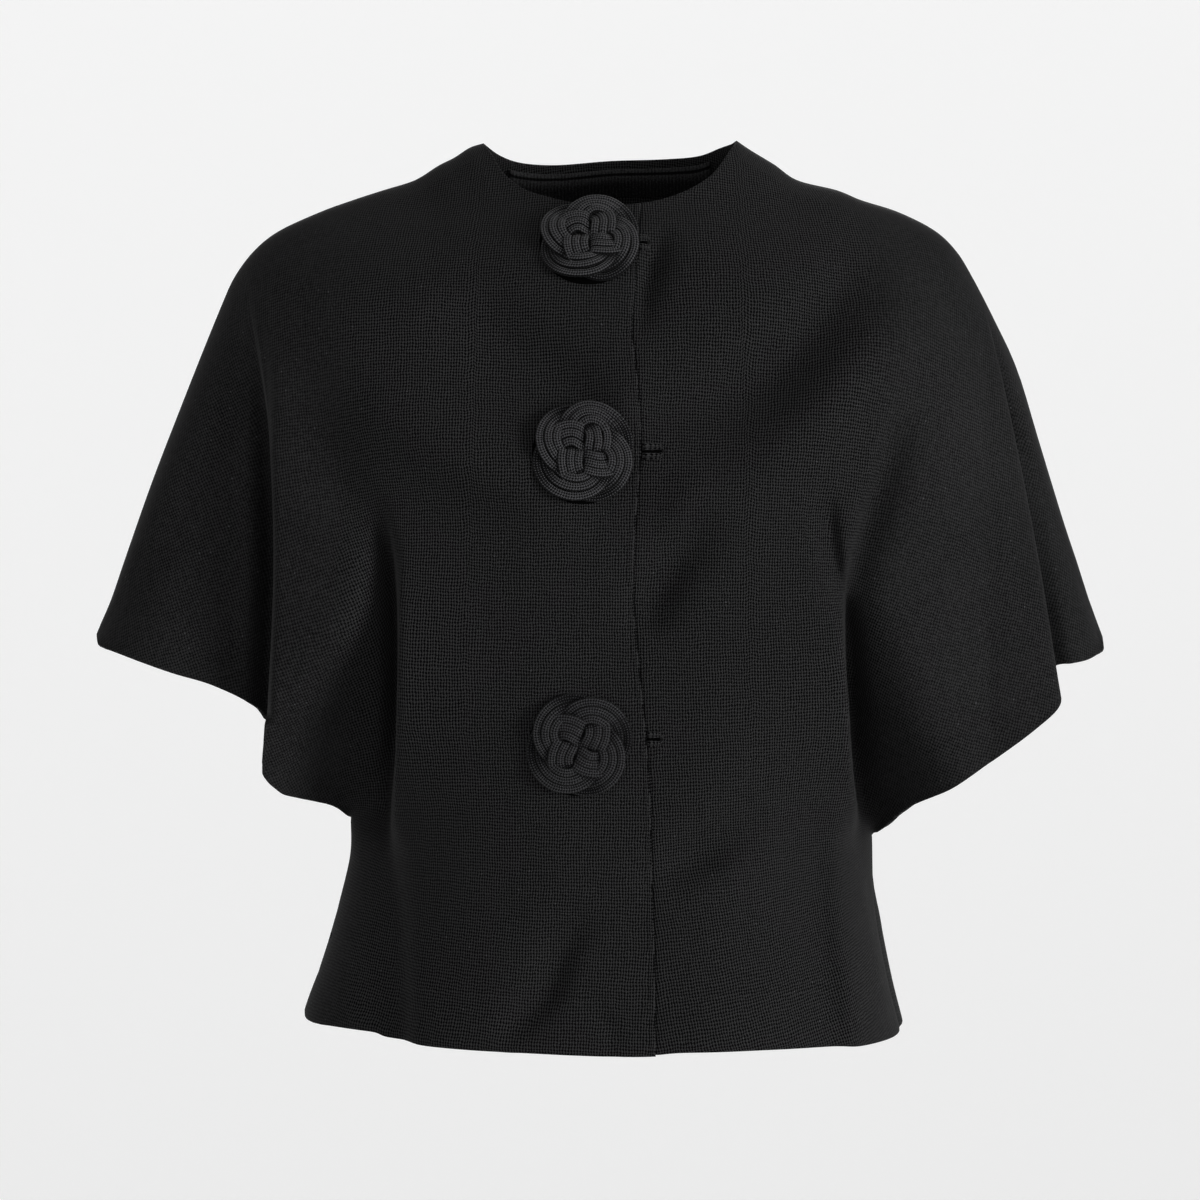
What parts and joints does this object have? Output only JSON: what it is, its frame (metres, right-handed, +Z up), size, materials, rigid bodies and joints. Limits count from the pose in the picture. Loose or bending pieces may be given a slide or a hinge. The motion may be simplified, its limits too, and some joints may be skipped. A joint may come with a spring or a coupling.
{
  "type": "knitted shrug with cape sleeves, worn form",
  "caption": "Cropped open-sleeved knitted jacket, filled out as worn, with a lapped front and large knotted cord buttons.",
  "frame": {"origin": "centre plane of the garment at the level where it rests on the shoulders, in the plane of the shoulder seams", "axes": "+X to the wearer's left, +Y to the wearer's back, +Z up"},
  "size_m": [0.56, 0.2393, 0.4963],
  "materials": {
    "knit": "matt black double-knit wool, slightly brushed",
    "knit_inside": "matt black knitted band",
    "cord": "black knitted cord, slightly lustrous"
  },
  "bodies": {
    "root": {"right_front": "knit", "left_front": "knit", "back": "knit", "back_neck_band": "knit_inside", "buttonhole_top": "knit", "buttonhole_middle": "knit", "buttonhole_bottom": "knit", "button_top": "cord", "button_middle": "cord", "button_bottom": "cord"}
  },
  "joints": []
}
